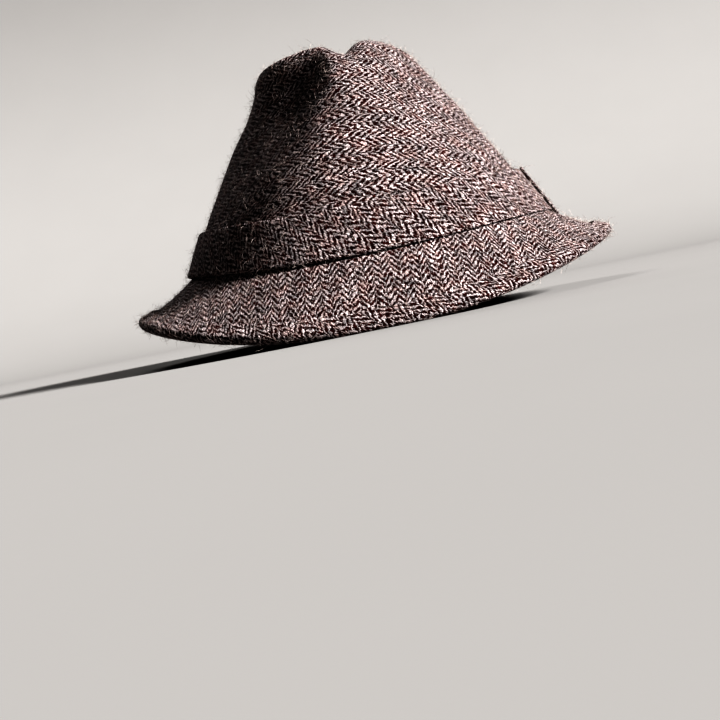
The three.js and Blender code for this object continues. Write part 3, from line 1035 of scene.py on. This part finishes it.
def soft_fill(stage):
    """Faint even fill on the hat, and a tone like the lit backdrop's where the camera sees past it."""
    world = bpy.data.worlds.new("soft_fill")
    world.use_nodes = True
    tree = world.node_tree
    tree.nodes.clear()
    path = add_node(tree, "ShaderNodeLightPath")
    fill = add_node(tree, "ShaderNodeBackground", {"Strength": stage.sky})
    surround = add_node(tree, "ShaderNodeBackground", {"Strength": stage.surround})
    both = add_node(
        tree, "ShaderNodeMixShader", None,
        {0: path.outputs["Is Camera Ray"], 1: fill.outputs[0], 2: surround.outputs[0]},
    )
    add_node(tree, "ShaderNodeOutputWorld", None, {"Surface": both.outputs[0]})
    return world


def towards(azimuth, elevation):
    """Direction from the hat at an azimuth from its front towards its left, and an elevation."""
    level = math.cos(elevation)
    return np.array([math.sin(azimuth) * level, -math.cos(azimuth) * level, math.sin(elevation)])


def add_sun(name, way, strength, spread):
    """A soft studio light far off in a direction."""
    place = Vector(way)
    bpy.ops.object.light_add(type="SUN", location=place, rotation=place.to_track_quat("Z", "Y").to_euler())
    sun = bpy.context.object
    sun.name = name
    sun.data.energy = strength
    sun.data.angle = spread


def aimed_camera(stage):
    """Camera placement that puts the aim point at its share of the picture, with the picture's roll."""
    away = towards(stage.azimuth, stage.elevation)
    ahead = -away
    right = np.cross(ahead, [0, 0, 1])
    right /= np.linalg.norm(right)
    up = np.cross(right, ahead)
    rolled_right = math.cos(stage.roll) * right - math.sin(stage.roll) * up
    rolled_up = math.sin(stage.roll) * right + math.cos(stage.roll) * up
    ray = np.array([stage.aim_across - 0.5, 0.5 - stage.aim_down, -stage.lens / SENSOR_WIDTH])
    ray /= np.linalg.norm(ray)
    turn = Matrix(np.stack([rolled_right, rolled_up, away], axis=1).tolist())
    lean = Matrix.Identity(3)
    axis = np.cross(ray, [0, 0, -1])
    angle = math.asin(min(1, np.linalg.norm(axis)))
    if angle > 0:
        lean = Matrix.Rotation(angle, 3, axis.tolist())
    place = (turn @ lean).to_4x4()
    place.translation = np.array([0, 0, stage.aim_height]) + stage.distance * away
    return place


def add_camera(stage):
    """Adds the camera that takes the picture."""
    bpy.ops.object.camera_add()
    camera = bpy.context.object
    camera.name = "camera"
    camera.data.lens = stage.lens
    camera.data.sensor_width = SENSOR_WIDTH
    camera.data.clip_start = NEAR_CLIP
    camera.matrix_world = aimed_camera(stage)
    bpy.context.scene.camera = camera


class FEDORA_OT_stage(bpy.types.Operator):
    """Sets up the pale floor and backdrop, the two lights, the fill and the camera"""

    bl_idname = "fedora.stage"
    bl_label = "Stage"

    def execute(self, context):
        stage = context.scene.fedora_stage
        add_floor(stage)
        key_way = towards(stage.key_azimuth, stage.key_elevation)
        add_sun("key_light", key_way, stage.key_strength, stage.key_spread)
        back_way = towards(stage.back_azimuth, stage.back_elevation)
        add_sun("back_light", back_way, stage.back_strength, stage.back_spread)
        context.scene.world = soft_fill(stage)
        context.scene.view_settings.view_transform = "Standard"
        context.scene.view_settings.look = "Very High Contrast"
        add_camera(stage)
        return {"FINISHED"}


GROUPS = {
    "fedora_cloth": FedoraCloth,
    "fedora_weave": FedoraWeave,
    "fedora_fibres": FedoraFibres,
    "fedora_stage": FedoraStage,
}
PIECES = (
    FEDORA_OT_crown, FEDORA_OT_brim, FEDORA_OT_brim_binding, FEDORA_OT_hatband, FEDORA_OT_hatband_tab,
    FEDORA_OT_fibres, FEDORA_OT_stage,
)


class FEDORA_PT_panel(bpy.types.Panel):
    """Lists the hat's settings and the pieces to model"""

    bl_idname = "FEDORA_PT_panel"
    bl_label = "Herringbone Fedora"
    bl_space_type = "VIEW_3D"
    bl_region_type = "UI"
    bl_category = "Fedora"

    def draw(self, context):
        for group in GROUPS:
            box = self.layout.box()
            settings = getattr(context.scene, group)
            for name in type(settings).__annotations__:
                box.prop(settings, name)
        for operator in PIECES:
            self.layout.operator(operator.bl_idname)


CLASSES = (*GROUPS.values(), *PIECES, FEDORA_PT_panel)


def register():
    """Adds the classes and the scene's settings."""
    for made in CLASSES:
        bpy.utils.register_class(made)
    for name, group in GROUPS.items():
        setattr(bpy.types.Scene, name, PointerProperty(type=group))


def unregister():
    """Takes the settings and the classes away again."""
    for name in GROUPS:
        delattr(bpy.types.Scene, name)
    for made in reversed(CLASSES):
        bpy.utils.unregister_class(made)


def main():
    """Models the hat piece by piece and sets the stage."""
    register()
    bpy.ops.fedora.crown()
    bpy.ops.fedora.brim()
    bpy.ops.fedora.brim_binding()
    bpy.ops.fedora.hatband()
    bpy.ops.fedora.hatband_tab()
    bpy.ops.fedora.fibres()
    bpy.ops.fedora.stage()


if __name__ == "__main__":
    main()
